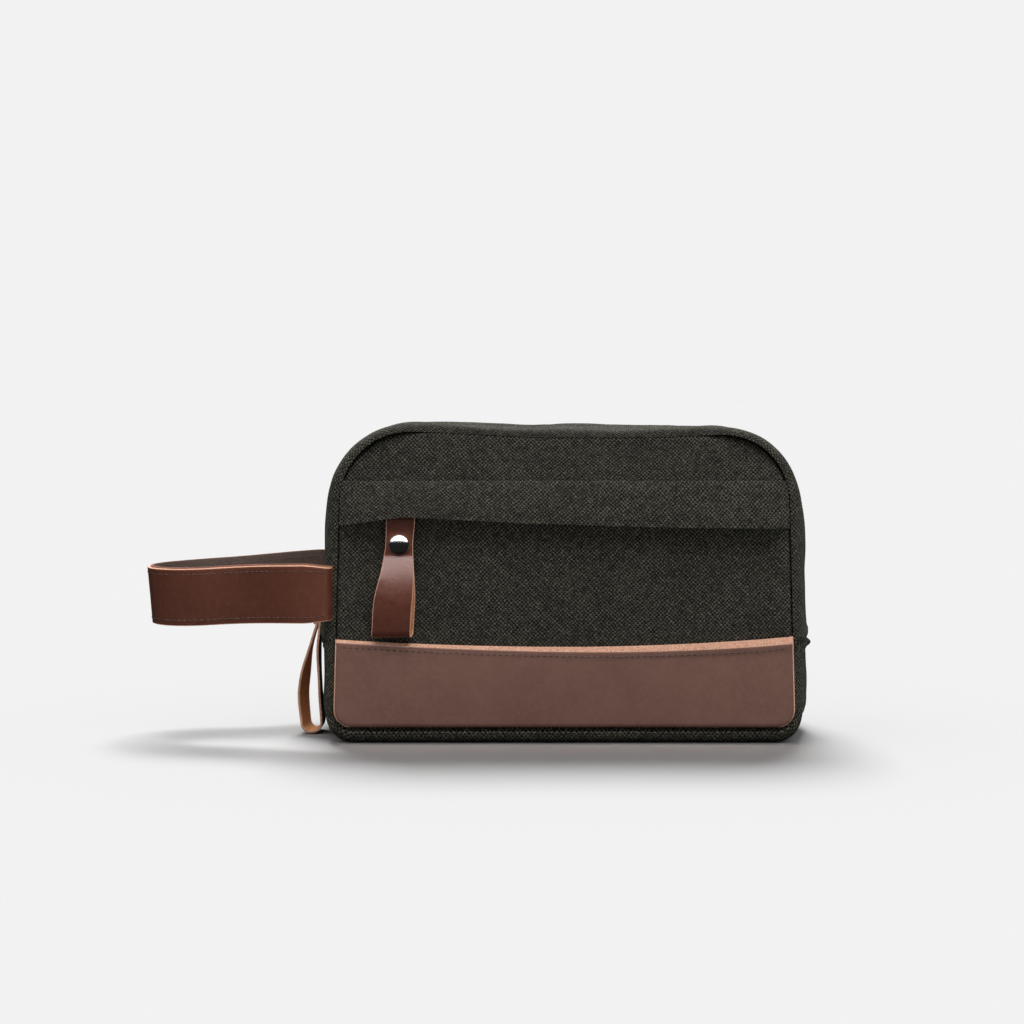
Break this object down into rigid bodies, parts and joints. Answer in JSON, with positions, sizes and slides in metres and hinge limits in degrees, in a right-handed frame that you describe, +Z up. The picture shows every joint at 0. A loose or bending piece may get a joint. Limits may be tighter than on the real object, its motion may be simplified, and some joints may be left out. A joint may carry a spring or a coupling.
{
  "type": "shaving kit bag",
  "caption": "Soft canvas shaving kit bag with zipped top, flapped zip pocket, leather foot band, leather zip pulls and a side wrist handle.",
  "frame": {"origin": "middle of the bag's base, on the surface it stands on", "axes": "+Z up, the front with the pocket faces -Y, +X to the right seen from the front, the wrist handle leaves the -X end"},
  "size_m": [0.3667, 0.1244, 0.1714],
  "materials": {
    "canvas": "coarse charcoal olive canvas",
    "leather": "smooth brown leather with raw cut edges",
    "leather_lining": "dark rough inner side of the leather",
    "lining": "thin dark lining cloth",
    "zip_tape": "woven black zip tape",
    "zip_teeth": "dark moulded teeth",
    "dark_metal": "dark plated metal",
    "chrome": "polished chrome"
  },
  "bodies": {
    "bag_body": {"front_top_panel": "canvas", "pocket_panel": "canvas", "leather_band": "leather", "pocket_backing": "lining", "back_panel": "canvas", "lining_bag": "lining", "bottom_gusset": "canvas", "gusset_front_left": "canvas", "gusset_front_right": "canvas", "gusset_back_left": "canvas", "gusset_back_right": "canvas", "main_tape_front_left": "zip_tape", "main_tape_front_right": "zip_tape", "main_tape_back_left": "zip_tape", "main_tape_back_right": "zip_tape", "main_teeth_front_left": "zip_teeth", "main_teeth_front_right": "zip_teeth", "main_teeth_back_left": "zip_teeth", "main_teeth_back_right": "zip_teeth", "end_tab": "canvas", "front_tape_upper": "zip_tape", "front_tape_lower": "zip_tape", "front_teeth_upper": "zip_teeth", "front_teeth_lower": "zip_teeth", "front_stop_left": "dark_metal", "front_stop_right": "dark_metal", "main_stop": "dark_metal"},
    "mouth_front": {"gusset_front_top": "canvas", "main_tape_front_top": "zip_tape", "main_teeth_front_top": "zip_teeth"},
    "mouth_back": {"gusset_back_top": "canvas", "main_tape_back_top": "zip_tape", "main_teeth_back_top": "zip_teeth"},
    "flap": {"pocket_flap": "canvas"},
    "front_zip_slider": {"front_slider": "dark_metal", "front_slider_loop": "dark_metal"},
    "front_pull": {"front_pull_strap": "leather", "front_rivet_cap": "chrome", "front_rivet_post": "chrome"},
    "main_zip_slider": {"main_slider": "dark_metal", "main_slider_loop": "dark_metal"},
    "main_pull": {"main_pull_strap": "leather", "main_rivet_cap": "chrome", "main_rivet_post": "chrome"},
    "handle": {"handle_outer": "leather", "handle_lining": "leather_lining"}
  },
  "joints": [
    {"name": "mouth_front_open", "type": "hinge", "parent": "bag_body", "child": "mouth_front", "pos_m": [0, -0.054, 0.166], "axis": [1, 0, 0], "range_deg": [0, 60]},
    {"name": "mouth_back_open", "type": "hinge", "parent": "bag_body", "child": "mouth_back", "pos_m": [0, 0.054, 0.166], "axis": [-1, 0, 0], "range_deg": [0, 60]},
    {"name": "flap_lift", "type": "hinge", "parent": "bag_body", "child": "flap", "pos_m": [0, -0.0564, 0.1402], "axis": [-1, 0, 0], "range_deg": [0, 45], "stiffness_Nm_per_rad": 0.02},
    {"name": "front_slider_slide", "type": "slide", "parent": "bag_body", "child": "front_zip_slider", "axis": [1, 0, 0], "range_m": [0, 0.185]},
    {"name": "front_pull_swing", "type": "hinge", "parent": "front_zip_slider", "child": "front_pull", "pos_m": [-0.0867, -0.05915, 0.1192], "axis": [-1, 0, 0], "range_deg": [0, 72]},
    {"name": "main_slider_slide", "type": "slide", "parent": "bag_body", "child": "main_zip_slider", "axis": [0, 0, 1], "range_m": [0, 0.03]},
    {"name": "main_pull_swing", "type": "hinge", "parent": "main_zip_slider", "child": "main_pull", "pos_m": [-0.13369, 0, 0.077], "axis": [0, 1, 0], "range_deg": [0, 125]},
    {"name": "handle_flex", "type": "hinge", "parent": "bag_body", "child": "handle", "pos_m": [-0.1218, 0, 0.08], "axis": [0, 1, 0], "range_deg": [-20, 30], "stiffness_Nm_per_rad": 0.3, "springref_deg": 2.86}
  ]
}
